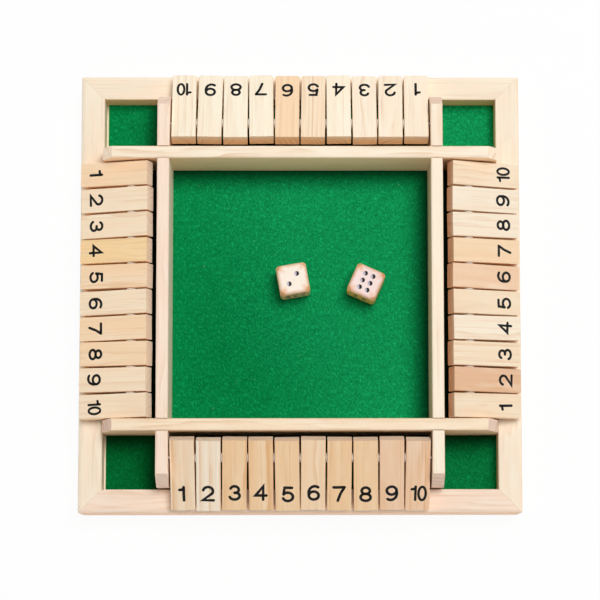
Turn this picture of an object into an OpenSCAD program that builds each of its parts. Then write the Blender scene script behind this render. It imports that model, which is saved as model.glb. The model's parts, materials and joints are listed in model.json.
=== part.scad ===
// Four-sided shut the box game: a square pine tray lined with felt, with ten numbered tiles
// hinged along each side on a metal axle, and two wooden dice in the middle.
// The origin is on the table under the middle of the tray, and +Z is up.
// Each side is drawn once, as the south side, and turned to its place.

/* [Frame] */
// Outside width of the square frame
frame_side = 290; // [270:1:310]
// Width of a rail, seen from above
rail_w = 15.6; // [14:0.1:17]
// Height of the frame
frame_h = 25; // [24:0.5:26]
// Radius along the outer top edge
rail_round = 3; // [1:0.5:5]
// Radius of the four upright corners
corner_round = 2; // [0.5:0.5:4]
// Chamfer along the inner top edge
rail_arris = 0.5; // [0.2:0.1:1]

/* [Base] */
// Height of the base panel's underside above the table
base_lift = 5; // [4:0.5:7]
// Thickness of the base panel
base_t = 4; // [3:0.5:5]
// How far the base panel enters the rails
base_tongue = 3; // [2:0.5:5]
// Thickness of the felt
felt_t = 1; // [0.5:0.1:1.5]
// Strip of the base that the felt leaves bare along the west rail
felt_short = 1.2; // [0:0.1:3]

/* [Dividers] */
// Clear width of the dice tray between the dividers
tray_side = 169.8; // [169:0.1:172]
// Thickness of a divider
divider_w = 8; // [6:0.5:10]
// Height of the dividers' top edge above the table
divider_top = 48.5; // [47:0.5:50]
// Radius along the top edges of a divider
divider_round = 1.5; // [0.5:0.1:3]
// Gap between a divider's end and the rail
divider_gap = 0.8; // [0.1:0.1:1.5]
// Length of the bevels at the ends of the south, east, north and west dividers
bevel_run = [7.7, 8, 6.4, 8]; // [5:0.1:12]
// Height of the bevels at the ends of the south, east, north and west dividers
bevel_rise = [16, 13, 7.5, 13]; // [5:0.5:18]
// Gap left all round in a cross-lap joint
lap_gap = 0.1; // [0.05:0.05:0.3]

/* [Tiles] */
// Tiles on each side
tile_count = 10; // [8:1:10]
// Distance from one tile to the next
tile_pitch = 16.9; // [16.8:0.05:17]
// Width of a tile
tile_w = 15.8; // [15:0.1:15.9]
// Thickness of a tile
tile_t = 8; // [7:0.5:9]
// Length of a tile from the axle to its outer end
tile_long = 34.35; // [32:0.05:34.6]
// Length of a tile from the axle to its inner end, along the top
tile_short = 12; // [9:0.1:13]
// How far the inner end runs out from top to bottom
tile_slant = 1; // [0:0.1:1.6]
// Radius of a tile's outer corners, seen from above
tile_corner = 1.6; // [0.8:0.1:3]
// Radius along a tile's edges
tile_edge = 0.6; // [0.3:0.1:1]
// Largest skew of a tile, whose hole is drilled a little out of square
tile_skew = 0.7; // [0:0.1:0.8]
// Largest shift of a tile's hole along the tile
tile_stagger = 0.3; // [0:0.1:0.3]
// Clearance between a tile and the frame that it rests on
rest_gap = 0.05; // [0.05:0.05:0.3]
// How far every tile is turned over
flip = 0; // [0:1:145]

/* [Axles] */
// Diameter of an axle
axle_d = 2; // [1.6:0.1:2.6]
// Distance from the middle of the tray to an axle
axle_run = 109.7; // [109:0.1:110.4]
// Height of an axle above the table
axle_z = 38.8; // [38.4:0.1:39.4]
// Depth of the blind hole that holds an axle's end
axle_seat = 5; // [3:0.5:7]
// Radial clearance of a tile on its axle
bore_slack = 0.05; // [0.02:0.01:0.1]
// Diameter of a spacer
spacer_d = 6.4; // [4:0.1:6.8]
// Thickness of a spacer
spacer_t = 0.7; // [0.5:0.05:0.8]

/* [Dice] */
// Side of a die
die_side = 20; // [16:0.5:22]
// Radius along a die's edges
die_round = 2.2; // [1:0.1:3]
// Diameter of the ball that trims a die's corners
die_ball = 30; // [28:0.5:34]
// Diameter of a pip
pip_d = 3.3; // [2.5:0.1:4]
// Depth of a pip
pip_depth = 0.9; // [0.5:0.1:1.2]
// Clearance between a die and the felt
die_gap = 0.1; // [0.05:0.05:0.3]
// Place of the left die
die_left_at = [-4.8, 8.5]; // [-60:0.1:60]
// Turn of the left die
die_left_turn = 10; // [-45:1:45]
// Place of the right die
die_right_at = [43.3, 6.5]; // [-60:0.1:60]
// Turn of the right die
die_right_turn = -24; // [-45:1:45]

/* [Hidden] */
$fn = 48;
eps = 0.01;
sides = ["south", "east", "north", "west"];
quarter = 90;

inner_half = frame_side / 2 - rail_w;
felt_top = base_lift + base_t + felt_t;
groove_slack = 0.1;

tray_half = tray_side / 2;
divider_mid = tray_half + divider_w / 2;
divider_h = divider_top - felt_top;
lap_z = felt_top + divider_h / 2;

// The outer bottom edge of a tile lies on the frame, which sets the tilt.
tile_reach = norm([tile_long, tile_t / 2]);
tile_drop = axle_z - frame_h - rest_gap;
tilt = asin(tile_drop / tile_reach) - atan2(tile_t / 2, tile_long);

bore_r = axle_d / 2 + bore_slack;
seat_r = axle_d / 2 + eps;
axle_half = tray_half + axle_seat;

pip_ball = (pow(pip_d / 2, 2) + pow(pip_depth, 2)) / (2 * pip_depth);
pip_near = 2.7;
pip_mid = 3;
pip_far = 4.9;
die_z = felt_top + die_gap + die_side / 2;

skew_step = 97;
skew_turn = 61;
stagger_step = 131;
stagger_turn = 47;

pine = [0.93, 0.84, 0.7];
pine_end = [0.8, 0.6, 0.42];
rosy_pine = [0.92, 0.74, 0.58];
felt_green = [0.03, 0.5, 0.27];
rod_steel = [0.72, 0.72, 0.74];
nylon = [0.93, 0.93, 0.9];
maple = [0.95, 0.87, 0.76];

function two_digits(n) = n < 10 ? str("0", n) : str(n);
function tile_name(side, n) = str("tile_", sides[side], "_", two_digits(n));
function tile_x(n) = (n - (tile_count + 1) / 2) * tile_pitch;
function is_rosy(side, n) = side == 0 && n == 10 || side == 1 && (n == 2 || n == 6 || n == 7)
    || side == 2 && n == 6;

// No two tiles are drilled quite alike: each value differs from tile to tile, from -1 to 1.
function skew_of(side, n) = sin(skew_step * n + skew_turn * side);
function stagger_of(side, n) = sin(stagger_step * n + stagger_turn * side);

// Pip places on a face, counted across and along the face
function pips(n) =
    n == 6 ? [for (a = [-pip_near, pip_near], b = [-pip_far, 0, pip_far]) [a, b]] :
    concat(
        n % 2 == 1 ? [[0, 0]] : [],
        n >= 2 ? [[pip_mid, pip_mid], [-pip_mid, -pip_mid]] : [],
        n >= 4 ? [[pip_mid, -pip_mid], [-pip_mid, pip_mid]] : []);

// Draws the south side's piece on another side.
module on_side(side) {
    rotate([0, 0, quarter * side]) children();
}

// Sweeps a Y-Z profile along X, centred.
module along_x(length) {
    rotate([90, 0, 90]) linear_extrude(length, center = true) children();
}

module round_rectangle(w, h, r) {
    square([w, h - 2 * r], center = true);
    square([w - 2 * r, h], center = true);
    for (x = [-1, 1], y = [-1, 1])
        translate([x * (w / 2 - r), y * (h / 2 - r)]) circle(r);
}

// Moulding of a rail, from its outer face inwards: rounded outside, grooved for the base.
module rail_profile() {
    difference() {
        union() {
            square([rail_w, frame_h - rail_round]);
            translate([rail_round, 0]) square([rail_w - rail_round, frame_h]);
            translate([rail_round, frame_h - rail_round]) circle(rail_round);
        }
        translate([rail_w - base_tongue - groove_slack, base_lift])
            square([base_tongue + groove_slack + eps, base_t]);
        translate([rail_w, frame_h])
            polygon([[eps, eps], [-rail_arris - eps, eps], [eps, -rail_arris - eps]]);
    }
}

// One mitred rail of the frame.
module frame_rail() {
    outer = frame_side / 2;
    color(pine) intersection() {
        translate([0, -outer, 0]) along_x(frame_side) rail_profile();
        linear_extrude(frame_h)
            polygon([[-outer, -outer], [outer, -outer], [inner_half, -inner_half],
                     [-inner_half, -inner_half]]);
        linear_extrude(frame_h) round_rectangle(frame_side, frame_side, corner_round);
    }
}

module base_panel() {
    side = 2 * (inner_half + base_tongue);
    color(pine_end) translate([-side / 2, -side / 2, base_lift]) cube([side, side, base_t]);
}

module felt() {
    color(felt_green) translate([-inner_half + felt_short, -inner_half, base_lift + base_t])
        cube([2 * inner_half - felt_short, 2 * inner_half, felt_t]);
}

module divider_section() {
    translate([-divider_w / 2, 0]) square([divider_w, divider_h - divider_round]);
    translate([-divider_w / 2 + divider_round, 0]) square([divider_w - 2 * divider_round, divider_h]);
    for (side = [-1, 1])
        translate([side * (divider_w / 2 - divider_round), divider_h - divider_round])
            circle(divider_round);
}

// A divider: rounded along the top, bevelled at its ends, which stop just short of the rails,
// notched to cross the two dividers square to it, and drilled for the ends of their rows' axles.
module divider(side) {
    notch_above = side % 2 == 1;
    end = inner_half - divider_gap;
    color(pine) difference() {
        intersection() {
            translate([0, -divider_mid, felt_top]) along_x(2 * end) divider_section();
            translate([0, -divider_mid + divider_w, 0]) rotate([90, 0, 0])
                linear_extrude(2 * divider_w)
                    polygon([[-end, felt_top], [end, felt_top], [end, divider_top - bevel_rise[side]],
                             [end - bevel_run[side], divider_top], [-end + bevel_run[side], divider_top],
                             [-end, divider_top - bevel_rise[side]]]);
        }
        for (x = [-divider_mid, divider_mid])
            translate([x - divider_w / 2 - lap_gap, -divider_mid - divider_w,
                       notch_above ? lap_z - lap_gap : felt_top - eps])
                cube([divider_w + 2 * lap_gap, 2 * divider_w, divider_h / 2 + lap_gap + eps]);
        for (x = [-axle_run, axle_run])
            translate([x, -tray_half + eps, axle_z]) rotate([90, 0, 0])
                cylinder(axle_seat + eps, r = seat_r);
    }
}

module axle() {
    color(rod_steel) translate([0, -axle_run, axle_z]) rotate([0, 90, 0])
        cylinder(2 * axle_half, d = axle_d, center = true);
}

// One spacer: a flat ring with a rounded rim.
module spacer() {
    rim = spacer_t / 2;
    rotate([0, 90, 0]) rotate_extrude() {
        translate([axle_d / 2 + eps, -rim]) square([spacer_d / 2 - rim - axle_d / 2 - eps, spacer_t]);
        translate([spacer_d / 2 - rim, 0]) circle(rim);
    }
}

module spacers() {
    color(nylon)
        for (n = [1:tile_count - 1])
            translate([tile_x(n) + tile_pitch / 2, -axle_run, axle_z]) spacer();
}

// Side view of a tile, with Y outwards negative and the axle at the origin.
module tile_side_view() {
    difference() {
        polygon([[-tile_long, -tile_t / 2], [tile_short + tile_slant, -tile_t / 2],
                 [tile_short, tile_t / 2], [-tile_long, tile_t / 2]]);
        for (z = [-1, 1]) translate([-tile_long + tile_edge, z * (tile_t / 2 - tile_edge)])
            difference() {
                translate([-2 * tile_edge, z > 0 ? 0 : -2 * tile_edge]) square(2 * tile_edge);
                circle(tile_edge);
            }
    }
}

// Plan of a tile: square at the inner end, rounded at the outer corners.
module tile_plan() {
    inner = tile_short + tile_slant;
    translate([-tile_w / 2, -tile_long + tile_corner]) square([tile_w, tile_long + inner - tile_corner]);
    translate([-tile_w / 2 + tile_corner, -tile_long]) square([tile_w - 2 * tile_corner, tile_corner]);
    for (x = [-1, 1])
        translate([x * (tile_w / 2 - tile_corner), -tile_long + tile_corner]) circle(tile_corner);
}

// A flat block with eased edges, slanted at the inner end.
module tile_block() {
    intersection() {
        along_x(tile_w) tile_side_view();
        linear_extrude(tile_t, center = true) tile_plan();
        translate([0, tile_short + tile_slant, 0]) rotate([90, 0, 0])
            linear_extrude(tile_long + tile_short + tile_slant)
                round_rectangle(tile_w, tile_t, tile_edge);
    }
}

// A tile on its axle, tilted until its outer end rests on the frame.
module tile(side, n) {
    color(is_rosy(side, n) ? rosy_pine : pine)
        translate([tile_x(n), -axle_run, axle_z]) rotate([tilt - flip, 0, 0]) difference() {
            rotate([0, 0, tile_skew * skew_of(side, n)])
                translate([0, tile_stagger * stagger_of(side, n), 0]) tile_block();
            rotate([0, 90, 0]) cylinder(2 * tile_w, r = bore_r, center = true);
        }
}

// The pips of one face, sunk into the top of a block that is centred on the origin.
module face_pips(n) {
    for (p = pips(n)) translate([p[0], p[1], die_side / 2 + pip_ball - pip_depth]) sphere(pip_ball);
}

// A die with the named faces up, south and east: opposite faces add up to seven.
module die(at, turn, top, south, east) {
    opposite = 7;
    color(maple) translate([at[0], at[1], die_z]) rotate([0, 0, turn]) difference() {
        intersection() {
            linear_extrude(die_side, center = true) round_rectangle(die_side, die_side, die_round);
            rotate([90, 0, 0]) linear_extrude(die_side, center = true)
                round_rectangle(die_side, die_side, die_round);
            rotate([0, 90, 0]) linear_extrude(die_side, center = true)
                round_rectangle(die_side, die_side, die_round);
            sphere(d = die_ball);
        }
        face_pips(top);
        rotate([180, 0, 0]) face_pips(opposite - top);
        rotate([90, 0, 0]) rotate([0, 0, 90]) face_pips(south);
        rotate([-90, 0, 0]) face_pips(opposite - south);
        rotate([0, 90, 0]) face_pips(east);
        rotate([0, -90, 0]) face_pips(opposite - east);
    }
}

for (side = [0:3]) {
    on_side(side) frame_rail();
    on_side(side) divider(side);
    on_side(side) axle();
    on_side(side) spacers();
    for (n = [1:tile_count])
        on_side(side) tile(side, n);
}
base_panel();
felt();
die(die_left_at, die_left_turn, 2, 6, 3);  // die_left
die(die_right_at, die_right_turn, 6, 4, 2);  // die_right
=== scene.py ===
"""Finishes, numbers, studio and camera for the four-sided shut the box game."""
import json
import math
import random

import bmesh
import bpy
from bpy.props import FloatProperty, FloatVectorProperty, PointerProperty
from mathutils import Matrix, Vector


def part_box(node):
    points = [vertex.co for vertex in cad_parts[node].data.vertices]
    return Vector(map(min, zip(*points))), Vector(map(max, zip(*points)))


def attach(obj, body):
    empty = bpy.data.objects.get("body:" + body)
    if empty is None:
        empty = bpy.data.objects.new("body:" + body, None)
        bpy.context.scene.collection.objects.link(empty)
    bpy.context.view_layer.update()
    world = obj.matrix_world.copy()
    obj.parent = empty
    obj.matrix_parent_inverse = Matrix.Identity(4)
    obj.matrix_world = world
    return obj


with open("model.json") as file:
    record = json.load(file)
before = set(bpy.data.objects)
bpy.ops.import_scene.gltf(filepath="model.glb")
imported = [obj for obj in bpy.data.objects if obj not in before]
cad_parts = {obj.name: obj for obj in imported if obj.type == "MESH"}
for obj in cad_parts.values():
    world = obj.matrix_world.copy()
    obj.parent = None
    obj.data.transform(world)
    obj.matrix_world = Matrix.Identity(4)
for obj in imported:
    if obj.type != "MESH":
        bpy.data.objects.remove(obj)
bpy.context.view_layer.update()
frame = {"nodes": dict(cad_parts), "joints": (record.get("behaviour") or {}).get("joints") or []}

bl_info = {
    "name": "Shut the box game",
    "version": (1, 0, 0),
    "blender": (4, 5, 0),
    "location": "3D View > Sidebar > Game",
    "description": "Finishes the wood, felt, numbers and dice of a shut the box game",
    "category": "Object",
}

MM = 0.001
SIDES = ("south", "east", "north", "west")
NODES = frame["nodes"]
TILE_JOINTS = [joint for joint in frame["joints"] if joint["type"] == "hinge"]
X_AXIS = Vector((1, 0, 0))
Y_AXIS = Vector((0, 1, 0))
Z_AXIS = Vector((0, 0, 1))

WHITE = (1, 1, 1, 1)
FILM_WIDTH = 36  # millimetres

# The woods of GameWood that the letters of TILE_TONES stand for
TONES = {
    "p": "pearl", "c": "cream", "s": "straw", "h": "honey",
    "t": "tan", "a": "amber", "r": "rose", "n": "nut",
}
# The wood of each side's tiles, from 1 to 10: partly the boards' own tones, and partly painted
# light, the north row taking the palest woods and the south row darker ones
TILE_TONES = {
    "south": "scttthttrr", "east": "snscsrhccs",
    "north": "cccpshpppp", "west": "hssahshhss",
}
# The colour of the tiles' sawn ends, painted lit on the south and west rows, whose ends face the
# lamp, and shaded on the north and east rows, and the wood of the rail and the divider, on each
# side
END_TONES = {"south": "end_pale", "east": "end_brown", "north": "end_warm", "west": "end_pale"}
RAIL_TONES = {"south": "blush", "east": "cream", "north": "cream", "west": "cream"}
DIVIDER_TONES = {"south": "straw", "east": "cream", "north": "cream", "west": "blush"}
# Painted shade on the tiles of a side: what their wood is multiplied by, darker on the south and
# east rows
TILE_SHADES = {"south": 0.93, "east": 0.95, "north": 1, "west": 1}
# Painted shade on the flanks of a board: what they are multiplied by, in red, green and blue,
# darker where a flank stands in shade
TILE_FLANK_SHADE = (1, 0.76, 0.54)
DIVIDER_FLANK_SHADES = {
    "south": (0.62, 0.47, 0.31), "east": (0.5, 0.33, 0.2),
    "north": (1, 0.7, 0.45), "west": (1, 1, 1),
}
RAIL_FLANK_SHADES = {**dict.fromkeys(SIDES, DIVIDER_FLANK_SHADES["north"]), "west": DIVIDER_FLANK_SHADES["west"]}
# How strongly the growth rings show
TILE_STREAKS = {"south": 1.15, "east": 0.7, "north": 0.7, "west": 0.7}
DIVIDER_STREAK = 0.7
RAIL_STREAK = 0.5

# What each board draws at random: its pith's turn and distance in millimetres, where its noise
# starts, how wide its rings are, and how strong the rings and the fine lines are
PITH_TURNS = (0.2 * math.pi, 0.8 * math.pi)
PITH_FAR = (18, 50)
STARTS = (0, 50)
RING_WIDTHS = (0.7, 1.4)
RING_STRENGTHS = (0.5, 1.0)
LINE_STRENGTHS = (0.2, 0.65)
# How much further sideways the pith lies than its turn says
PITH_ASIDE = 1.4
# How many rings the grain's sway shifts, and how far apart two rings are in the seasons' noise
RING_SWAY = 0.8
RING_STRIDE = 3.7
# How late in a ring its dark wood begins
LATE_POWER = 2.4
# What dull places of a board are multiplied by, and a sawn end, its dark rings and its threads
DULL = (1, 0.92, 0.86)
END_WHOLE = 1.12
END_RING = (0.78, 0.68, 0.6)
END_THREAD = 0.75
# How far down from a tile's face its sawn end fades from paler to darker, a painted shade in the
# gap below
END_SHADE_DEEP = 7 * MM

# How long the felt's fibres and how large their bends are, in fibre widths, and their slant
FIBRE_LONG = 2.4
BEND_SIZE = 1 / 0.6
FIBRE_SLANT = 0.3
# The way towards the north-east along which light is painted on the felt, and where that painted
# light begins and ends along that way, in halves of the tray's width
PAINTED_LIGHT_EAST, PAINTED_LIGHT_NORTH = 1.3, 0.7
PAINTED_LIGHT_START, PAINTED_LIGHT_END = -1.3, 0.5
# What the felt is multiplied by where shade is painted on it: in the southern pockets, beside the
# tall walls and in the strip behind the tiles
POCKET_SHADE = (0.45, 0.61, 0.51)
WALL_SHADOW_SHADE = 0.1
STRIP_SHADE = 0.03
# How far beyond a divider the painted shade of the strip behind the tiles begins to fade and ends,
# and how much further it reaches on the north
STRIP_FULL, STRIP_END, STRIP_NORTH = 8 * MM, 14 * MM, 9 * MM

# The width of a die's grain along and across, and the size of its clouds
DIE_GRAIN, DIE_THREAD, DIE_CLOUD = 6 * MM, 0.6 * MM, 5 * MM
# What the darker clouds of a die's face are multiplied by
DIE_DULL = (0.97, 0.9, 0.84)
# Between which distances from a die's middle, in halves of its width, the browning of its edges
# and corners grows, its faces and its fields of pips end, and its top begins
DIE_EDGE = (0.66, 0.98)
DIE_CORNER = (0.35, 0.85)
DIE_FACE = (0.985, 0.998)
DIE_PIPS = (0.70, 0.74)
DIE_TOP = (0.5, 0.8)

# Numbers of two digits, in heights of a digit: from one to the other, and how far a 1 is moved
DIGIT_SPREAD = 0.60
ONE_SHIFT = 0.06
# How much narrower the digits of such a number are
DIGIT_NARROW = 0.92

# The least dot product of directions taken as the same, and the most of those taken as square
ALIKE = 0.9
SQUARE = 0.1


def tint(code):
    """Turns a colour written as on screen, such as "F0E0C0", into the values that light needs."""
    parts = [int(code[i:i + 2], 16) / 255 for i in (0, 2, 4)]
    return tuple(c / 12.92 if c <= 0.04045 else ((c + 0.055) / 1.055) ** 2.4 for c in parts)


# The next five make a setting with its default, for the groups of settings below.
def colour(name, description, code):
    return FloatVectorProperty(
        name=name, description=description, default=tint(code),
        size=3, subtype="COLOR", min=0, max=1)


def length(name, description, millimetres):
    return FloatProperty(
        name=name, description=description, default=millimetres * MM, unit="LENGTH")


def angle(name, description, degrees):
    return FloatProperty(
        name=name, description=description, default=math.radians(degrees), unit="ROTATION")


def share(name, description, value):
    return FloatProperty(
        name=name, description=description, default=value, subtype="FACTOR", min=0, max=1)


def number(name, description, value, unit="NONE"):
    return FloatProperty(name=name, description=description, default=value, unit=unit)


class GameWood(bpy.types.PropertyGroup):
    pearl: colour("Pearl pine", "The palest boards", "FFF4DD")
    cream: colour("Cream pine", "Pale boards", "FEEFD8")
    straw: colour("Straw pine", "Boards a little yellower", "FCE6C8")
    honey: colour("Honey pine", "Boards a little darker", "FCDDB8")
    tan: colour("Tan pine", "Boards darker still", "F9D5AA")
    amber: colour("Amber pine", "Resinous boards", "FCDAA6")
    blush: colour("Blush pine", "Pale boards with a pink cast", "FDE6D2")
    rose: colour("Rosy pine", "Pinkish boards", "F6D1AF")
    nut: colour("Nut pine", "The darkest board", "EBC09D")
    late: colour("Late wood", "The darker part of each growth ring", "DCA468")
    # The tiles' end grains are lit and shaded copies: painted light on the south and west ends,
    # painted shade on the north and east ends
    end_pale: colour("Pale end grain", "Sawn ends of the south and west tiles", "E8D8C4")
    end_warm: colour("Warm end grain", "Sawn ends of the north tiles", "F3CD99")
    end_brown: colour("Brown end grain", "Sawn ends of the east tiles", "F0BA8C")
    end_bevel: colour("Bevel end grain", "Bevels at the ends of the dividers", "DEC2AE")
    # Painted shade on a tile's sawn end: paler next to its face, darker down in the gap
    lip: share("Lip", "How much paler a tile's sawn end gets towards its face", 0.6)
    board: colour("Base board", "The panel under the felt", "FFF4DC")
    # How strongly the painted shade on a board's sides shows
    flank: share("Flank", "How much warmer a board's sides are than its face", 0.6)
    ring: length("Ring spacing", "Width of one growth ring", 3.4)
    wander: length("Ring wander", "How far the rings stray from true circles", 6)
    fibre: length("Fibre width", "Width of the fine streaks along the grain", 0.35)
    streak: share("Streak strength", "How much the late wood shows", 1.0)
    joint: length("Mitre line", "Width of the line where two rails meet", 0.25)


class GameFelt(bpy.types.PropertyGroup):
    deep: colour("Deep green", "The felt between its fibres", "006A35")
    green: colour("Felt green", "The felt as a whole", "048446")
    # Pale green is painted light, laid over the felt more towards the north-east, where the lamp
    # is
    pale: colour("Pale green", "The felt where its nap leans away from the light", "16A463")
    bright: colour("Bright fibre", "The fibres that catch the light", "1CC274")
    lint: colour("Lint", "Stray pale specks", "B9D8C2")
    clump: length("Clump", "Size of the soft clumps", 9)
    fibre: length("Fibre", "Width of a matted fibre", 1.0)
    # How strongly the painted light towards the north-east shows on the felt
    nap: share("Nap", "How much paler the felt looks towards the north-east", 0.62)
    # How far the shadow painted on the felt reaches from a tall wall to its north or east
    lee: length("Lee", "How far the pile looks deeper beside a tall wall to its north or east", 17)
    # Painted shade: how much the felt of the southern pockets is darkened
    pocket: share("Pocket", "How much deeper the green is in the southern pockets", 1.0)
    # How strongly the near-black painted shade shows in the strip of felt behind the tiles
    fresh: share("Fresh felt", "How much deeper the green is in the strip behind the tiles", 0.95)
    speck: length("Speck", "Size of a stray pale speck", 1.3)


class GameNumbers(bpy.types.PropertyGroup):
    height: length("Height", "Height of a number along its middle line", 8.05)
    stroke: length("Stroke", "Width of the printed line", 1.68)
    south: number("South", "How much larger the numbers of the south tiles are", 1.09)
    inset: length("Inset", "From a tile's outer end to the middle of its number", 11)
    proud: length("Proud", "How far the print stands above the wood", 0.03)
    tilt: angle("Tilt", "Most that a number is out of square", 2.5)
    stray: length("Stray", "Most that a number is off its place", 0.35)
    ink: colour("Ink", "Colour of the print", "070505")


class GameDice(bpy.types.PropertyGroup):
    left: colour("Left die", "The smooth faces of the left die", "FDF0E0")
    right: colour("Right die", "The smooth faces of the right die", "F7E0DA")
    # The side colours are painted shade on each die's upright faces
    left_side: colour("Left die sides", "The upright faces of the left die", "FFC088")
    right_side: colour("Right die sides", "The upright faces of the right die", "FFBC40")
    burnt: colour("Burnt edge", "Edges and corners browned by tumbling", "E9A66E")
    pip: colour("Pip", "Paint in the pips", "0E090C")
    # A painted highlight: the pale colour on the walls of the top pips that face east and up
    shine: colour("Pip shine", "Where the paint in a pip is rubbed pale", "D8CCDC")


class GameMetal(bpy.types.PropertyGroup):
    steel: colour("Rod", "The axles", "B4B4B8")
    nylon: colour("Spacer", "The rings between the tiles", "F2F0EA")


class GameStudio(bpy.types.PropertyGroup):
    camera: FloatVectorProperty(
        name="Camera", description="Place of the camera", size=3,
        default=(0.00735, -0.20267, 1.301), subtype="TRANSLATION", unit="LENGTH")
    aim: FloatVectorProperty(
        name="Aim", description="Turn of the camera", size=3,
        default=(0.09269, -0.0093, -0.00156), subtype="EULER", unit="ROTATION")
    lens: number("Lens", "Focal length on a 36 mm frame", 117.66, "CAMERA")
    shift: FloatVectorProperty(
        name="Shift", description="Shift of the lens, right and up, in widths of the picture",
        size=2, default=(-0.05, 0.2))
    ambient: number("Ambient", "Light from all round", 0.06)
    fill: number("Fill", "Light from low down, strongest in the south-west", 1.25)
    key: number("Key", "Power of the main lamp", 69, "POWER")
    key_far: length("Key distance", "From the main lamp to the game", 3000)
    key_side: length("Key side", "Width of the main lamp", 1500)
    key_turn: angle("Key turn", "Turn of the main lamp from east towards north", 45)
    key_rise: angle("Key rise", "Height of the main lamp above the horizon", 72)
    floor: colour("Floor", "The table top", "F8F8F8")
    floor_glow: share("Floor glow", "How far the camera sees the floor as plain white", 0.94)
    floor_side: length("Floor side", "Width of the floor", 6000)


SETTINGS = {
    "wood": GameWood, "felt": GameFelt, "numbers": GameNumbers,
    "dice": GameDice, "metal": GameMetal, "studio": GameStudio,
}


class GameSettings(bpy.types.PropertyGroup):
    __annotations__ = {
        name: PointerProperty(type=kind, name=name.title(), description=kind.__name__)
        for name, kind in SETTINGS.items()
    }


def settings():
    return bpy.context.scene.shut_the_box


class Value:
    """A shader socket that can be used in sums, each of which adds its Math node."""

    def __init__(self, finish, socket):
        self.finish = finish
        self.socket = socket

    def sum(self, operation, *values):
        return self.finish.add("ShaderNodeMath", {"operation": operation}, dict(enumerate(values)))

    def __add__(self, other):
        return self.sum("ADD", self, other)

    def __radd__(self, other):
        return self.sum("ADD", other, self)

    def __sub__(self, other):
        return self.sum("SUBTRACT", self, other)

    def __rsub__(self, other):
        return self.sum("SUBTRACT", other, self)

    def __mul__(self, other):
        return self.sum("MULTIPLY", self, other)

    def __rmul__(self, other):
        return self.sum("MULTIPLY", other, self)

    def __truediv__(self, other):
        return self.sum("DIVIDE", self, other)

    def __rtruediv__(self, other):
        return self.sum("DIVIDE", other, self)

    def __pow__(self, other):
        return self.sum("POWER", self, other)

    def __rpow__(self, other):
        return self.sum("POWER", other, self)

    def __abs__(self):
        return self.sum("ABSOLUTE", self)

    def fraction(self):
        return self.sum("FRACT", self)

    def lowest(self, other):
        return self.sum("MINIMUM", self, other)

    def highest(self, other):
        return self.sum("MAXIMUM", self, other)

    def step(self, start, end):
        """Goes smoothly from 0 at start to 1 at end, also where end is the lower of the two."""
        return self.finish.add(
            "ShaderNodeMapRange", {"interpolation_type": "SMOOTHSTEP"},
            {"Value": self, "From Min": start, "From Max": end})

    def along(self, direction):
        """How far this place or normal reaches in a direction."""
        return self.finish.add(
            "ShaderNodeVectorMath", {"operation": "DOT_PRODUCT"}, {0: self, 1: direction}, "Value")


def with_alpha(inputs):
    """Gives each colour among a node's inputs the fourth part that its socket takes."""
    return {name: (*value, 1) if isinstance(value, tuple) else value
            for name, value in inputs.items()}


class Finish:
    """The nodes of a material or of the world, written as sums of Values."""

    def __init__(self, owner):
        owner.use_nodes = True
        self.owner = owner
        self.tree = owner.node_tree
        self.tree.nodes.clear()

    def add(self, kind, choices=None, inputs=None, output=0):
        """Adds a node: its choices are set first, and then the values or links of its sockets."""
        node = self.tree.nodes.new(kind)
        for name, choice in (choices or {}).items():
            setattr(node, name, choice)
        for name, value in (inputs or {}).items():
            if isinstance(value, Value):
                self.tree.links.new(value.socket, node.inputs[name])
            else:
                node.inputs[name].default_value = value
        return Value(self, node.outputs[output]) if node.outputs else None

    def place(self):
        return self.add("ShaderNodeTexCoord", output="Object")

    def normal(self):
        return self.add("ShaderNodeTexCoord", output="Normal")

    def point(self, x, y, z):
        return self.add("ShaderNodeCombineXYZ", inputs={0: x, 1: y, 2: z})

    def noise(self, place, size=1.0, detail=2.0, rough=0.5, distortion=0.0):
        return self.add("ShaderNodeTexNoise", inputs={
            "Vector": place, "Scale": 1 / size, "Detail": detail,
            "Roughness": rough, "Distortion": distortion})

    def mix(self, first, second, amount, way="MIX"):
        """Blends two colours, which have the Mix node's inputs 6 and 7 and its output 2."""
        return self.add(
            "ShaderNodeMix", {"data_type": "RGBA", "blend_type": way},
            {0: amount, **with_alpha({6: first, 7: second})}, 2)

    def coats(self, base, *layers):
        """Lays colours over a base in turn, each with its amount."""
        for layer, amount in layers:
            base = self.mix(base, layer, amount)
        return base

    def bump(self, height, depth):
        return self.add(
            "ShaderNodeBump", inputs={"Height": height, "Distance": depth}, output="Normal")

    def surface(self, **inputs):
        """Ends the material with one surface, whose sockets are named in words."""
        named = {name.replace("_", " ").title().replace("Ior", "IOR"): value
                 for name, value in inputs.items()}
        shader = self.add("ShaderNodeBsdfPrincipled", inputs=with_alpha(named))
        self.add("ShaderNodeOutputMaterial", inputs={"Surface": shader})
        return self.owner


def finish_named(name):
    return Finish(bpy.data.materials.new(name))


class Board:
    """The grain's own directions in a piece of wood: a corner of it, along, across and up."""

    def __init__(self, origin, along, across, up):
        self.origin = origin
        self.along = along
        self.across = across
        self.up = up

    def read(self, finish):
        """How far each point is across, up and along from the corner."""
        place = finish.place()
        return [place.along(axis) - self.origin.dot(axis)
                for axis in (self.across, self.up, self.along)]


def shaded(colour_of, *factors):
    """A colour times one factor, or times one for each of red, green and blue."""
    factors = factors * 3 if len(factors) == 1 else factors
    return tuple(c * f for c, f in zip(colour_of, factors))


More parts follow.
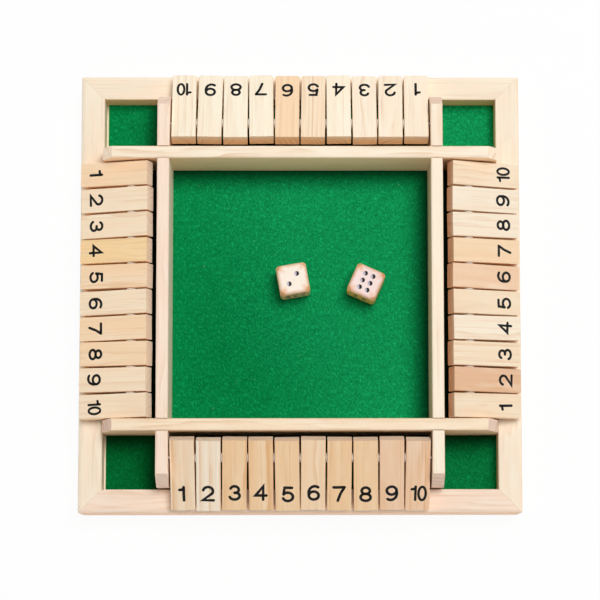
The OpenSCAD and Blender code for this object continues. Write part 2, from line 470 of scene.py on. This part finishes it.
def pine(name, board, chance, early, end, streak=1, flank=TILE_FLANK_SHADE, lip=0, mitre=False):
    """Sawn pine: growth rings about a pith outside the board, streaks of fibre, and darker ends.

    early is the colour of the pale wood, and end that of the sawn ends, which on the tiles are lit
    or shaded copies by side. streak says how strongly the rings show, flank the painted shade that
    the sides are multiplied by, and lip how much an end pales upwards, a painted shade that
    darkens it down in the gap.
    """
    wood = settings().wood
    late_wood = tuple(wood.late)
    finish = finish_named(name)
    across, up, along = board.read(finish)
    pith_turn = chance.uniform(*PITH_TURNS)
    pith_far = chance.uniform(*PITH_FAR) * MM
    pith_across = pith_far * math.cos(pith_turn) * PITH_ASIDE
    pith_up = -pith_far * math.sin(pith_turn)
    start = chance.uniform(*STARTS)

    def streaks(wide, long, detail, rough=0.5):
        """Noise drawn out along the grain."""
        place = finish.point(across / wide + start, up / wide, along / long)
        return finish.noise(place, detail=detail, rough=rough)

    sway = (streaks(wide=14 * MM, long=70 * MM, detail=2) - 0.5) * 2
    far_across = across - pith_across + sway * wood.wander
    far_up = up - pith_up
    radius = (far_across * far_across + far_up * far_up) ** 0.5
    count = radius / (wood.ring * chance.uniform(*RING_WIDTHS)) + sway * RING_SWAY
    ring = count.fraction()
    season = finish.noise(
        finish.point((count - ring) * RING_STRIDE + start, start, along / (50 * MM)), detail=0)
    late = ring ** LATE_POWER * (1 - ring.step(0.9, 1.0)) * season.step(0.3, 0.55)
    fibre = streaks(wide=wood.fibre, long=18 * MM, detail=3, rough=0.6)
    lines = streaks(wide=1.1 * MM, long=60 * MM, detail=2)
    cloud = streaks(wide=8 * MM, long=30 * MM, detail=1)
    strength = wood.streak * streak * chance.uniform(*RING_STRENGTHS)
    line_strength = streak * chance.uniform(*LINE_STRENGTHS)

    facing = finish.normal()
    # Painted shade: a board's sides are darkened and warmed by the flank factor
    side = 1 - abs(facing.along(board.up)).step(0.3, 0.8)
    sawn = abs(facing.along(board.along)).step(0.75, 0.9)
    shown = cloud.step(0.3, 0.65) * 0.75 + 0.25
    bleached = cloud.step(0.5, 0.8) * 0.3
    dulled = cloud.step(0.55, 0.3) * 0.5
    # The sawn end, painted paler next to the face and darker down in the gap: painted shade
    end_body = finish.coats(
        shaded(end, END_WHOLE),
        (shaded(end, *END_RING), late * 0.8),
        (shaded(end, END_THREAD), fibre.step(0.5, 0.75) * 0.3),
        (early, up.step(-END_SHADE_DEEP, 0) * lip))
    body = finish.coats(
        early,
        (late_wood, late * strength * shown),
        (late_wood, lines.step(0.5, 0.75) * line_strength),
        (late_wood, fibre.step(0.52, 0.8) * 0.22),
        (tuple(wood.cream), bleached),
        (shaded(early, *DULL), dulled),
        (shaded(early, *flank), side * wood.flank),
        (end_body, sawn))
    if mitre:
        place = finish.place()
        gap = abs(abs(place.along(X_AXIS)) - abs(place.along(Y_AXIS)))
        seam = 1 - gap.step(0.3 * wood.joint, wood.joint)
        body = finish.mix(body, shaded(wood.late, 0.6), seam * 0.3)
    return finish.surface(
        base_color=body, roughness=fibre * 0.16 + 0.5, specular_ior_level=0.3,
        normal=finish.bump(fibre * 0.6 + late * 0.4, 0.12 * MM))


def green_felt():
    """Matted felt: soft clumps, crossed fibres and stray specks, with painted light towards the
    north-east, and painted shade beside the tall walls, in the southern pockets and in the strip
    behind the tiles.
    """
    felt = settings().felt
    deep = tuple(felt.deep)
    finish = finish_named("felt")
    place = finish.place()
    east, north = place.along(X_AXIS), place.along(Y_AXIS)
    # The outer and the inner face of a divider, from the middle of the game
    outer, inner = (abs(corner.y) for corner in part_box("divider_south"))

    clump = finish.noise(place, felt.clump, detail=2, rough=0.5)
    lean = east + north * FIBRE_SLANT + (clump - 0.5) * felt.clump
    fibre = finish.noise(
        finish.point(lean / felt.fibre, north / (FIBRE_LONG * felt.fibre), 0.0),
        detail=2, rough=0.6)
    bend = finish.noise(place, felt.fibre * BEND_SIZE, detail=3, rough=0.6, distortion=2.0)
    speck = finish.noise(place, felt.speck, detail=1)
    # Painted light: the felt is painted paler towards the north-east, where the lamp stands
    painted_light = east * PAINTED_LIGHT_EAST + north * PAINTED_LIGHT_NORTH
    painted_light = painted_light.step(PAINTED_LIGHT_START * inner, PAINTED_LIGHT_END * inner) * felt.nap

    # How far it is to the next tall wall on the east and on the north, beside which a shadow is
    # painted on the felt
    walls = [
        reach.step(-outer, -inner) * (outer + inner) + reach.step(inner, outer) * outer
        - outer - reach for reach in (east, north)]
    wall_shadow = (1 - (walls[0].lowest(walls[1]) / felt.lee).lowest(1)) ** 2

    # Painted shade in the strip behind the tiles, on each side of the game but not in its corners
    far, near = abs(east).highest(abs(north)), abs(east).lowest(abs(north))
    beyond = far - north.step(inner, outer) * STRIP_NORTH
    strip = far.step(inner, outer) * beyond.step(outer + STRIP_END, outer + STRIP_FULL)
    strip_shadow = strip * near.step(outer, inner)

    body = finish.coats(
        deep,
        (tuple(felt.green), clump.step(0.2, 0.65) * 0.45 + 0.55),
        # The pale green, and part of the bright fibres, follow the painted light towards the
        # north-east
        (tuple(felt.pale), painted_light),
        (tuple(felt.bright), fibre.step(0.47, 0.64) * (painted_light * 0.5 + 0.36)),
        (deep, bend.step(0.47, 0.6) * 0.6),
        (tuple(felt.lint), speck.step(0.79, 0.84) * 0.5))
    # Painted shade in the southern pockets
    southern = north.step(-inner, -outer) * felt.pocket
    body = finish.mix(body, POCKET_SHADE, southern, "MULTIPLY")
    body = finish.coats(
        body,
        # Painted shadow beside the tall walls on the north and east
        (shaded(deep, WALL_SHADOW_SHADE), wall_shadow * 0.8),
        # Painted shade, near black, in the strip behind the tiles
        (shaded(deep, STRIP_SHADE), strip_shadow * felt.fresh))
    return finish.surface(
        base_color=body, roughness=1.0, specular_ior_level=0.04,
        normal=finish.bump(fibre + bend, 0.25 * MM))


def rod_steel():
    metal = settings().metal
    finish = finish_named("rod_steel")
    scratch = finish.noise(finish.place(), 0.4 * MM, detail=3)
    body = finish.mix(tuple(metal.steel), shaded(metal.steel, 0.7), scratch)
    return finish.surface(base_color=body, metallic=1.0, roughness=scratch * 0.2 + 0.25)


def white_nylon():
    metal = settings().metal
    finish = finish_named("nylon")
    cloud = finish.noise(finish.place(), 2 * MM, detail=2)
    body = finish.mix(tuple(metal.nylon), shaded(metal.nylon, 0.88), cloud)
    return finish.surface(base_color=body, roughness=cloud * 0.1 + 0.3)


def printed_ink():
    numbers = settings().numbers
    finish = finish_named("ink")
    wear = finish.noise(finish.place(), 0.35 * MM, detail=3)
    body = finish.mix(tuple(numbers.ink), shaded(numbers.ink, 3), wear.step(0.55, 0.8))
    return finish.surface(base_color=body, roughness=wear * 0.2 + 0.5, specular_ior_level=0.2)


def die_wood(name, board, half, face, side):
    """Pale close-grained wood with browned edges, glossy dark pips, upright sides in painted
    shade, and a painted highlight in the pips of the top.
    """
    dice = settings().dice
    finish = finish_named(name)
    reaches = across, up, along = board.read(finish)
    grain = finish.noise(
        finish.point(across / DIE_THREAD, up / DIE_GRAIN, along / DIE_THREAD), detail=3)
    cloud = finish.noise(finish.point(*(reach / DIE_CLOUD for reach in reaches)), detail=2)

    # A face, an edge and a corner differ in how many of the three distances are large
    first, second, third = (abs(reach / half) for reach in reaches)
    largest = first.highest(second).highest(third)
    smallest = first.lowest(second).lowest(third)
    middle = first + second + third - largest - smallest
    edge = middle.step(*DIE_EDGE) * (cloud * 0.9 + 0.1)
    corner = smallest.step(*DIE_CORNER) * (cloud * 0.8 + 0.5)

    facing = finish.normal()
    # Painted shade: the upright faces take the die's side colour
    upright = 1 - abs(facing.along(Z_AXIS)).step(0.2, 0.7)
    sunk = (1 - largest.step(*DIE_FACE)) * (1 - middle.step(*DIE_PIPS))
    # Painted highlight: in the pips of the top, the walls that face east and up are painted pale,
    # the rest stay dark
    eastward = facing.along(X_AXIS).step(-0.1, 0.4) * facing.along(Z_AXIS).step(0.45, 0.7)
    highlit = eastward * (up / half).step(*DIE_TOP)
    paint_colour = finish.mix(tuple(dice.pip), tuple(dice.shine), highlit)
    body = finish.coats(
        face,
        (shaded(face, *DIE_DULL), cloud.step(0.4, 0.7) * 0.5 + grain * 0.2),
        (tuple(dice.burnt), edge.highest(corner).lowest(0.9)),
        (side, upright * (cloud * 0.3 + 0.7)),
        (paint_colour, sunk))
    return finish.surface(
        base_color=body, roughness=0.45 - sunk * 0.2, specular_ior_level=0.4,
        normal=finish.bump(grain, 0.03 * MM))


def paint(node, material):
    """Gives a node its one finish."""
    slots = NODES[node].material_slots
    if not slots:
        NODES[node].data.materials.append(material)
    for slot in slots:
        slot.material = material


def broadest(node, wanted):
    """The outward direction of a node's largest facet among those whose direction is wanted."""
    facets = [facet for facet in NODES[node].data.polygons if wanted(facet.normal)]
    return max(facets, key=lambda facet: facet.area).normal.normalized()


def tile_board(joint):
    """A tile's own frame: from the middle of its outer end, up its face towards the axle."""
    node = joint["child"]
    rod = Vector(joint["axis"])
    face = broadest(node, lambda way: way.z > ALIKE)
    across = broadest(node, lambda way: way.dot(rod) < -ALIKE)
    along = face.cross(across).normalized()
    corners = [v.co for v in NODES[node].data.vertices]
    outer = min(c.dot(along) for c in corners)
    middle = sum(limit(c.dot(across) for c in corners) for limit in (min, max)) / 2
    top = max(c.dot(face) for c in corners)
    return Board(along * outer + across * middle + face * top, along, across, face)


def arc(centre, radii, start, end, steps=20):
    """Points on an ellipse, between two angles in degrees."""
    turns = [math.radians(start + (end - start) * i / steps) for i in range(steps + 1)]
    return [(centre[0] + radii[0] * math.cos(turn), centre[1] + radii[1] * math.sin(turn))
            for turn in turns]


def digit_lines(digit):
    """The middle lines of a digit, one unit high."""
    return {
        "0": [arc((0, 0.5), (0.29, 0.5), 90, 450, 32)],
        "1": [[(0.05, 0), (0.05, 1)], [(-0.26, 0.79), (-0.09, 0.81), (0.05, 0.90)]],
        "2": [arc((0, 0.69), (0.36, 0.31), 168, -38, 20) + [(-0.38, 0.0), (0.41, 0.0)]],
        "3": [arc((0, 0.74), (0.31, 0.26), 160, -70, 20) + [(0.0, 0.51)],
              [(0.0, 0.51)] + arc((0, 0.275), (0.37, 0.275), 62, -162, 22)],
        "4": [[(0.16, 0), (0.16, 1), (-0.40, 0.31), (0.40, 0.31)]],
        "5": [[(0.29, 1), (-0.25, 1), (-0.325, 0.50)],
              arc((-0.005, 0.315), (0.375, 0.315), 146, -158, 26)],
        "6": [arc((0.02, 0.30), (0.36, 0.30), 0, 360, 30),
              arc((0.10, 0.50), (0.46, 0.50), 58, 196, 18)],
        "7": [[(-0.41, 1), (0.40, 1)], [(0.40, 1), (0.10, 0.53), (-0.11, 0)]],
        "8": [arc((0, 0.755), (0.30, 0.245), 90, 450, 28),
              arc((0, 0.265), (0.37, 0.265), 90, 450, 30)],
        "9": [arc((-0.02, 0.70), (0.36, 0.30), 0, 360, 30),
              arc((-0.10, 0.50), (0.46, 0.50), -122, 16, 18)],
    }[digit]


def ribbon(shape, line, half_width, half_height, same=1e-6, sharpest=0.4):
    """Adds a bar along a line, as a thin closed solid with round ends.

    A line whose ends are the same place becomes a ring. sharpest keeps a corner's point short.
    """
    closed = (Vector(line[0]) - Vector(line[-1])).length < same
    points = [Vector(p) for p in (line[:-1] if closed else line)]
    count = len(points)
    left, right = [], []
    for i, point in enumerate(points):
        before = points[i - 1] if closed or i > 0 else None
        after = points[(i + 1) % count] if closed or i < count - 1 else None
        ways = [(b - a).normalized() for a, b in ((before, point), (point, after))
                if a is not None and b is not None]
        side = leftward(sum(ways, Vector((0, 0))).normalized())
        reach = half_width / max(side.dot(leftward(ways[0])), sharpest)
        left.append(point + side * reach)
        right.append(point - side * reach)
    if closed:
        rims = [left, right]
    else:
        rims = [left + cap(points[-1], points[-2], half_width)
                + right[::-1] + cap(points[0], points[1], half_width)]
    top = [[shape.verts.new((*p, half_height)) for p in rim] for rim in rims]
    low = [[shape.verts.new((*p, -half_height)) for p in rim] for rim in rims]
    for upper, lower in zip(top, low):
        turned = list(zip(upper, lower))
        for (a, b), (c, d) in zip(turned, turned[1:] + turned[:1]):
            shape.faces.new((a, b, d, c))
    for layer in (top, low):
        if closed:
            outer, inner = layer
            for i in range(count):
                j = (i + 1) % count
                shape.faces.new((outer[i], outer[j], inner[j], inner[i]))
        else:
            shape.faces.new(layer[0])


def leftward(way):
    """A direction turned a quarter to the left."""
    return Vector((-way.y, way.x))


def cap(tip, inside, half_width, steps=8):
    """Points round a line's end, from its left to its right."""
    way = (tip - inside).normalized()
    side = leftward(way)
    turns = [math.pi * i / steps for i in range(1, steps)]
    return [tip + side * half_width * math.cos(turn) + way * half_width * math.sin(turn)
            for turn in turns]


def number_mesh(text, scale):
    """The print of a tile's number, flat and centred."""
    numbers = settings().numbers
    height = numbers.height * scale
    shape = bmesh.new()
    several = len(text) > 1
    narrow = DIGIT_NARROW if several else 1
    for place, digit in enumerate(text):
        shift = (place - (len(text) - 1) / 2) * DIGIT_SPREAD
        if several and digit == "1":
            shift += ONE_SHIFT
        for line in digit_lines(digit):
            points = [((x * narrow + shift) * height, (y - 0.5) * height) for x, y in line]
            ribbon(shape, points, numbers.stroke / 2 * scale * narrow, numbers.proud)
    bmesh.ops.recalc_face_normals(shape, faces=shape.faces)
    mesh = bpy.data.meshes.new("number")
    shape.to_mesh(mesh)
    shape.free()
    return mesh


def new_piece(name, mesh, material, body):
    """Adds a piece of the game that moves with a CAD body."""
    piece = bpy.data.objects.new(name, mesh)
    bpy.context.scene.collection.objects.link(piece)
    mesh.materials.append(material)
    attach(piece, body)


def side_board(node, side):
    """The grain of a rail or divider, which runs along its side of the game."""
    along, across = (X_AXIS, Y_AXIS) if side in ("south", "north") else (Y_AXIS, X_AXIS)
    return Board(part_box(node)[0], along, across, Z_AXIS)


class GameOperator:
    """What the operators of this add-on share."""
    bl_options = {"REGISTER", "UNDO"}


class FinishFrame(GameOperator, bpy.types.Operator):
    """Finish the four rails in mitred pine"""
    bl_idname = "game.finish_frame"
    bl_label = "Frame"

    def execute(self, context):
        wood = settings().wood
        for side in SIDES:
            node = f"frame_rail_{side}"
            early = tuple(getattr(wood, RAIL_TONES[side]))
            paint(node, pine(
                f"pine_rail_{side}", side_board(node, side), random.Random(f"rail {side}"),
                early, early, RAIL_STREAK, RAIL_FLANK_SHADES[side], mitre=True))
        return {"FINISHED"}


class FinishTray(GameOperator, bpy.types.Operator):
    """Finish the base panel, the felt and the four dividers"""
    bl_idname = "game.finish_tray"
    bl_label = "Tray"

    def execute(self, context):
        wood = settings().wood
        for side in SIDES:
            node = f"divider_{side}"
            early = tuple(getattr(wood, DIVIDER_TONES[side]))
            paint(node, pine(
                f"pine_divider_{side}", side_board(node, side), random.Random(f"divider {side}"),
                early, tuple(wood.end_bevel), DIVIDER_STREAK, DIVIDER_FLANK_SHADES[side]))
        board = side_board("base_panel", "east")
        bare = tuple(wood.board)
        paint("base_panel", pine("pine_base", board, random.Random("base"), bare, bare))
        paint("felt", green_felt())
        return {"FINISHED"}


class FinishRods(GameOperator, bpy.types.Operator):
    """Finish the axles and the spacer rings"""
    bl_idname = "game.finish_rods"
    bl_label = "Rods and spacers"

    def execute(self, context):
        steel = rod_steel()
        nylon = white_nylon()
        for side in SIDES:
            paint(f"axle_{side}", steel)
            paint(f"spacers_{side}", nylon)
        return {"FINISHED"}


class FinishTiles(GameOperator, bpy.types.Operator):
    """Finish each tile in its own piece of pine"""
    bl_idname = "game.finish_tiles"
    bl_label = "Tiles"

    def execute(self, context):
        wood = settings().wood
        for joint in TILE_JOINTS:
            node = joint["child"]
            side, place = node.split("_")[1:]
            tone = getattr(wood, TONES[TILE_TONES[side][int(place) - 1]])
            # The end colour, painted lit or shaded by side
            end = tuple(getattr(wood, END_TONES[side]))
            # Each tile's wood is darkened by its side's painted shade
            paint(node, pine(
                f"pine_{node}", tile_board(joint), random.Random(node),
                shaded(tone, TILE_SHADES[side]), end, TILE_STREAKS[side], lip=wood.lip))
        return {"FINISHED"}


class PrintNumbers(GameOperator, bpy.types.Operator):
    """Print a number on every tile"""
    bl_idname = "game.print_numbers"
    bl_label = "Numbers"

    def execute(self, context):
        numbers = settings().numbers
        ink = printed_ink()
        chance = random.Random("numbers")
        for joint in TILE_JOINTS:
            node = joint["child"]
            text = str(int(node.split("_")[-1]))
            board = tile_board(joint)
            scale = numbers.south if "south" in node else 1
            mesh = number_mesh(text, scale)
            turn = Matrix.Rotation(chance.uniform(-numbers.tilt, numbers.tilt), 4, "Z")
            axes = Matrix((board.across, board.along, board.up)).transposed().to_4x4()
            aside = chance.uniform(-numbers.stray, numbers.stray)
            away = numbers.inset * scale ** 0.5 + chance.uniform(-numbers.stray, numbers.stray)
            place = Matrix.Translation(board.origin + board.across * aside + board.along * away)
            mesh.transform(place @ axes @ turn)
            new_piece(f"number_{node[5:]}", mesh, ink, node)
        return {"FINISHED"}


class FinishDice(GameOperator, bpy.types.Operator):
    """Finish the two dice"""
    bl_idname = "game.finish_dice"
    bl_label = "Dice"

    def execute(self, context):
        dice = settings().dice
        # Each die's face colour, and its side colour painted as shade on its upright faces
        for node, face, side in (
                ("die_left", dice.left, dice.left_side),
                ("die_right", dice.right, dice.right_side)):
            low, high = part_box(node)
            along = broadest(node, lambda way: abs(way.z) < SQUARE)
            board = Board((low + high) / 2, along, along.cross(Z_AXIS), Z_AXIS)
            half = (high.z - low.z) / 2
            paint(node, die_wood(f"wood_{node}", board, half, tuple(face), tuple(side)))
        return {"FINISHED"}


class SetStage(GameOperator, bpy.types.Operator):
    """Set the floor, the light and the camera"""
    bl_idname = "game.set_stage"
    bl_label = "Stage"

    def execute(self, context):
        studio = settings().studio
        scene = context.scene
        scene.view_settings.view_transform = "Standard"
        add_camera(scene, studio)
        add_key(scene, studio)
        add_world(scene, studio)
        add_floor(scene, studio)
        return {"FINISHED"}


def add_camera(scene, studio):
    data = bpy.data.cameras.new("camera")
    data.sensor_width = FILM_WIDTH
    data.lens = studio.lens
    data.shift_x, data.shift_y = studio.shift
    camera = bpy.data.objects.new("camera", data)
    camera.location = studio.camera
    camera.rotation_euler = studio.aim
    scene.collection.objects.link(camera)
    scene.camera = camera


def add_key(scene, studio):
    """Adds the main lamp, a soft square high up in the north-east."""
    data = bpy.data.lights.new("key", "AREA")
    data.energy = studio.key
    data.size = studio.key_side
    lamp = bpy.data.objects.new("key", data)
    turn, rise = studio.key_turn, studio.key_rise
    towards = Vector((
        math.cos(rise) * math.cos(turn), math.cos(rise) * math.sin(turn), math.sin(rise)))
    lamp.location = towards * studio.key_far
    lamp.rotation_euler = towards.to_track_quat("Z", "Y").to_euler()
    scene.collection.objects.link(lamp)


def seen_directly(finish):
    """1 where the camera, a reflection or a clear piece looks straight at the surface."""
    rays = ("Is Camera Ray", "Is Glossy Ray", "Is Transmission Ray")
    camera, glossy, through = [finish.add("ShaderNodeLightPath", output=ray) for ray in rays]
    return camera.highest(glossy).highest(through)


def add_world(scene, studio):
    """Adds the light of the room, which is strongest low down in the south-west."""
    world = bpy.data.worlds.new("studio")
    light = Finish(world)
    ambient, fill, plain = [
        light.add("ShaderNodeBackground", inputs={"Color": WHITE, "Strength": strength})
        for strength in (studio.ambient, studio.fill, 1.0)]
    towards = light.add("ShaderNodeTexCoord", output="Generated")
    low = 1 - towards.along(Z_AXIS).step(0.3, 0.6)
    south_west = -(X_AXIS + Y_AXIS).normalized()
    amount = low * towards.along(south_west).step(-3, 1)  # half as strong in the north-east
    soft = light.add("ShaderNodeMixShader", inputs={0: amount, 1: ambient, 2: fill})
    both = light.add("ShaderNodeMixShader", inputs={0: seen_directly(light), 1: soft, 2: plain})
    light.add("ShaderNodeOutputWorld", inputs={"Surface": both})
    scene.world = world


def add_floor(scene, studio):
    """Adds the table top, which keeps the game's shadow and otherwise looks plain white."""
    finish = finish_named("floor")
    dull = finish.add("ShaderNodeBsdfDiffuse", inputs={"Color": (*studio.floor, 1)})
    glow = finish.add("ShaderNodeEmission", inputs={"Color": WHITE, "Strength": 1.0})
    amount = seen_directly(finish) * studio.floor_glow
    both = finish.add("ShaderNodeMixShader", inputs={0: amount, 1: dull, 2: glow})
    finish.add("ShaderNodeOutputMaterial", inputs={"Surface": both})
    mesh = bpy.data.meshes.new("floor")
    half = studio.floor_side / 2
    under = -0.2 * MM
    corners = [(x * half, y * half, under) for x, y in ((-1, -1), (1, -1), (1, 1), (-1, 1))]
    mesh.from_pydata(corners, [], [range(len(corners))])
    floor = bpy.data.objects.new("floor", mesh)
    mesh.materials.append(finish.owner)
    scene.collection.objects.link(floor)


STEPS = (FinishFrame, FinishTray, FinishRods, FinishTiles, PrintNumbers, FinishDice, SetStage)


class GamePanel(bpy.types.Panel):
    """Lists the steps that dress the game, and their settings"""
    bl_idname = "VIEW3D_PT_shut_the_box"
    bl_label = "Shut the box"
    bl_space_type = "VIEW_3D"
    bl_region_type = "UI"
    bl_category = "Game"

    def draw(self, context):
        for step in STEPS:
            self.layout.operator(step.bl_idname)
        for name in SETTINGS:
            box = self.layout.box()
            box.label(text=name.title())
            group = getattr(context.scene.shut_the_box, name)
            for key in group.__annotations__:
                box.prop(group, key)


CLASSES = (*SETTINGS.values(), GameSettings, *STEPS, GamePanel)


def register():
    for kind in CLASSES:
        bpy.utils.register_class(kind)
    bpy.types.Scene.shut_the_box = PointerProperty(type=GameSettings)


def unregister():
    del bpy.types.Scene.shut_the_box
    for kind in reversed(CLASSES):
        bpy.utils.unregister_class(kind)


def main():
    register()
    for step in STEPS:
        group, name = step.bl_idname.split(".")
        getattr(getattr(bpy.ops, group), name)()


if __name__ == "__main__":
    main()
